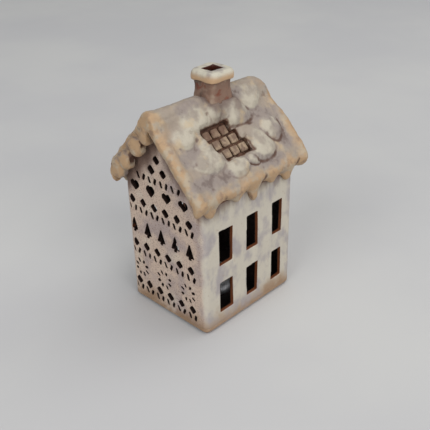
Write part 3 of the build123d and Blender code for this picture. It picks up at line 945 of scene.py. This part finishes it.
# Chimney: a square tube of clay with an open flue, set astride the ridge, its foot rubbed out into the
# snow and a slight waist under its cap.
snow_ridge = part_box("right_snow")[1].z
ridge_half = 0.004
foot_out = 0.0010
foot_height = 0.003
waist_in = 0.0010
waist_below_top = 0.009
waist_half = 0.006
flue_wall_share = 0.6
chimney = cad_copy("chimney_clay", "chimney")
soften(chimney, grain=0.0005, rounds=14)
places = points_of(chimney)
x, y, z = places.T.copy()
from_middle = y - chimney_middle.y
over_snow = z - snow_ridge + np.maximum(abs(x) - ridge_half, 0) * roof_slope
outside = np.maximum(abs(x), abs(from_middle)) > flue_wall_share * chimney_half
foot_flare = foot_out * np.exp(-np.maximum(over_snow, 0) / foot_height)
waist = waist_in * np.exp(-(((z - chimney_high.z + waist_below_top) / waist_half) ** 2))
flare = outside * (foot_flare - waist)
reach = np.hypot(x, from_middle)
places[:, 0] += flare * x / reach
places[:, 1] += flare * from_middle / reach
move_points(chimney, places)
dent(chimney, (0.012, 0.0010), (0.004, 0.0003))
mark(chimney, "flue", 1.0 - outside)
material, tree, shader = new_material("chimney_stain", 0.6)
patches = noise(tree, 0.008, 5.0, (1.0, 1.0, 2.5))
tone = paint(tree, srgb(134, 106, 90), srgb(92, 72, 63), ramp(tree, patches, 0.42, 0.58))
tone = paint(tree, tone, srgb(120, 62, 44), ramp(tree, noise(tree, 0.006), 0.55, 0.66, 0.8))
tone = paint(tree, tone, srgb(158, 138, 120), ramp(tree, noise(tree, 0.010), 0.52, 0.66, 0.7))
tone = paint(tree, tone, srgb(66, 28, 16), marked(tree, "flue"))
join(tree, tone, shader.inputs["Base Color"])
relief(tree, shader, patches, 0.0005)
finish_piece(chimney, material, "brown_clay", "house", "chimney")

# Chimney snow: a thick cap of clay let down over the chimney, its lower edge drooping a little at the
# corners. It is washed cream, peach along the edge and dark where the flue opens in it.
chimney_snow = cad_copy("chimney_snow_clay", "chimney_snow")
soften(chimney_snow, grain=0.0004, rounds=70)
cap_low, cap_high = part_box("chimney_snow")
places = points_of(chimney_snow)
droop = 0.0008
edge_share = np.clip((cap_high.z - places[:, 2]) / (cap_high.z - cap_low.z), 0, 1)
middle = (cap_low + cap_high) / 2
turn = np.arctan2(places[:, 1] - middle.y, places[:, 0] - middle.x)
places[:, 2] -= droop * edge_share * (1 - np.cos(4 * turn)) / 2
move_points(chimney_snow, places)
dent(chimney_snow, (0.012, 0.0010), (0.004, 0.0003))
places = points_of(chimney_snow)
flue_half = Vector((0.0050, 0.0060))
in_flue = np.maximum(abs(places[:, 0]) - flue_half.x, abs(places[:, 1] - middle.y) - flue_half.y)
mark(chimney_snow, "below_top", mm_in_m * (cap_high.z - places[:, 2]))
mark(chimney_snow, "past_flue", mm_in_m * in_flue)
material, tree, shader = new_material("cap_wash", 0.5)
patches = noise(tree, 0.010, 5.0)
tone = paint(tree, srgb(194, 187, 170), srgb(146, 136, 132), ramp(tree, patches, 0.48, 0.66, 0.8))
edge = sums(tree, "MULTIPLY_ADD", patches, 4.0, marked(tree, "below_top"))
tone = paint(tree, tone, srgb(192, 156, 118), ramp(tree, edge, 3.0, 7.5, 0.9))
tone = paint(tree, tone, srgb(66, 28, 16), ramp(tree, marked(tree, "past_flue"), 1.0, 0.4))
join(tree, tone, shader.inputs["Base Color"])
relief(tree, shader, noise(tree, 0.004), 0.0005)
finish_piece(chimney_snow, material, "snow_clay", "house", "chimney_snow")

# Tealight cup: thin drawn aluminium with a narrow grooved rim and fine upright draw marks. It stands on
# the table, in the hole of the floor slab.


def spin(name, outline, steps):
    """New object from an outline of radius and height points turned once round the upright middle."""
    form = bmesh.new()
    row = [form.verts.new((radius, 0, height)) for radius, height in outline]
    run = [form.edges.new(pair) for pair in zip(row, row[1:])]
    bmesh.ops.spin(
        form,
        geom=row + run,
        axis=(0, 0, 1),
        cent=(0, 0, 0),
        angle=2 * math.pi,
        steps=steps,
        use_merge=True,
    )
    bmesh.ops.remove_doubles(form, verts=form.verts, dist=merge_reach)
    bmesh.ops.recalc_face_normals(form, faces=form.faces)
    # A groove can turn the recalculation round, so the sign of the volume settles which way is out
    if form.calc_volume(signed=True) < 0:
        bmesh.ops.reverse_faces(form, faces=form.faces)
    return new_piece(name, form)


cup_low, cup_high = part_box("tealight_cup")
rim_groove = 0.0004
cup_radius = cup_high.x
cup_body = cup_radius - 2 * rim_groove
cup_wall = 0.0003
foot_round = 0.0012
quarter = [math.radians(angle) for angle in range(0, 91, 15)]
outline = [(0, cup_low.z)]
foot_middle = (cup_body - foot_round, cup_low.z + foot_round)
outline += [
    (foot_middle[0] + foot_round * math.sin(angle), foot_middle[1] - foot_round * math.cos(angle))
    for angle in quarter
]
groove_middle = (cup_body + rim_groove, cup_high.z - rim_groove)
outline += [
    (groove_middle[0] - rim_groove * math.cos(angle), groove_middle[1] + rim_groove * math.sin(angle))
    for angle in (math.radians(step) for step in range(-150, 91, 20))
]
outline += [
    (cup_body - cup_wall, cup_high.z - rim_groove),
    (cup_body - cup_wall, cup_low.z + cup_wall + foot_round),
    (cup_body - cup_wall - foot_round, cup_low.z + cup_wall),
    (0, cup_low.z + cup_wall),
]
cup = spin("tealight_cup_foil", outline, 96)
material, tree, shader = new_material("cup_foil", 0.48)
shader.inputs["Metallic"].default_value = 1.0
draw = noise(tree, 0.0012, 3.0, (1.0, 1.0, 8.0))
tone = paint(tree, srgb(205, 205, 207), srgb(170, 170, 172), ramp(tree, draw, 0.40, 0.65))
join(tree, tone, shader.inputs["Base Color"])
relief(tree, shader, draw, 0.0001)
finish_piece(cup, material, "cup_aluminium", "tealight", "tealight_cup")

# Wax: white paraffin cast in the cup round the wick. As it set it sank a little in the middle and
# stayed drawn up at the cup and at the wick.
wax_low, wax_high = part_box("tealight_wax")
wax_radius = wax_high.x
wick_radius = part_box("wick")[1].x
creep = 0.0006
steps = 14
outline = [(0, wax_low.z), (wax_radius, wax_low.z)]
for step in range(steps + 1):
    share = 1 - step / steps
    dish = creep * (share**8 + (1 - share) ** 10) - creep
    outline.append((wick_radius + (wax_radius - wick_radius) * share, wax_high.z + dish))
outline.append((0, wax_high.z - creep))
wax = spin("tealight_wax_cast", outline, 72)
material, tree, shader = new_material("wax_white", 0.42)
bloom = noise(tree, 0.006, 4.0)
tone = paint(tree, srgb(236, 232, 220), srgb(224, 218, 204), ramp(tree, bloom, 0.40, 0.65))
join(tree, tone, shader.inputs["Base Color"])
shader.inputs["Subsurface Weight"].default_value = 0.3
shader.inputs["Subsurface Radius"].default_value = (0.003, 0.002, 0.0015)
relief(tree, shader, bloom, 0.0003)
finish_piece(wax, material, "wax", "tealight", "tealight_wax")

# Sustainer: the tinned disc and crimp that hold the wick upright, cast under the wax. It is kept as the
# CAD has it, with the streaks of rolled sheet.
material, tree, shader = new_material("sustainer_tin", 0.4)
shader.inputs["Metallic"].default_value = 1.0
rolled = noise(tree, 0.0015, 3.0, (6.0, 1.0, 1.0))
tone = paint(tree, srgb(190, 188, 184), srgb(158, 156, 152), ramp(tree, rolled, 0.40, 0.65))
join(tree, tone, shader.inputs["Base Color"])
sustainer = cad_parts["wick_sustainer"]
sustainer.data.materials.clear()
sustainer.data.materials.append(material)

# Wick: a waxed cotton braid standing in the crimp, its strands wound both ways and its tip frayed to a
# blunt point. It is a tube of many rings, pressed in between the strands.
wick_low, wick_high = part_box("wick")
wick_height = wick_high.z - wick_low.z
braid_turns = 9
strands = 3
core_share = 0.86
strand_share = 0.07
tip_share = 0.35
tip_taper = 6
rings = 60
sides = 18
wick_place = Matrix.Translation((0, 0, wick_low.z + wick_height / 2))
quarter_turn = Matrix.Rotation(math.pi / 2, 4, "Z")
form = bmesh.new()
bmesh.ops.create_cone(
    form,
    cap_ends=True,
    segments=sides,
    radius1=wick_radius,
    radius2=wick_radius,
    depth=wick_height,
    matrix=wick_place @ quarter_turn,
)
upright = [edge for edge in form.edges if edge.calc_length() > wick_height / 2]
bmesh.ops.subdivide_edges(form, edges=upright, cuts=rings - 1)
for point in form.verts:
    share = (point.co.z - wick_low.z) / wick_height
    turn = math.atan2(point.co.y, point.co.x)
    twist = 2 * math.pi * braid_turns * share
    waves = math.cos(strands * (turn + twist)) + math.cos(strands * (turn - twist))
    taper = min(1.0, tip_share + tip_taper * (1 - share))
    point.co.xy *= (core_share + strand_share * waves) * taper
wick = new_piece("wick_braid", form)
material, tree, shader = new_material("wick_cotton", 0.8)
fibres = noise(tree, 0.0006, 3.0, (1.0, 1.0, 3.0))
tone = paint(tree, srgb(226, 220, 204), srgb(196, 186, 166), ramp(tree, fibres, 0.40, 0.65))
join(tree, tone, shader.inputs["Base Color"])
relief(tree, shader, fibres, 0.0001)
finish_piece(wick, material, "wick_cotton", "tealight", "wick")
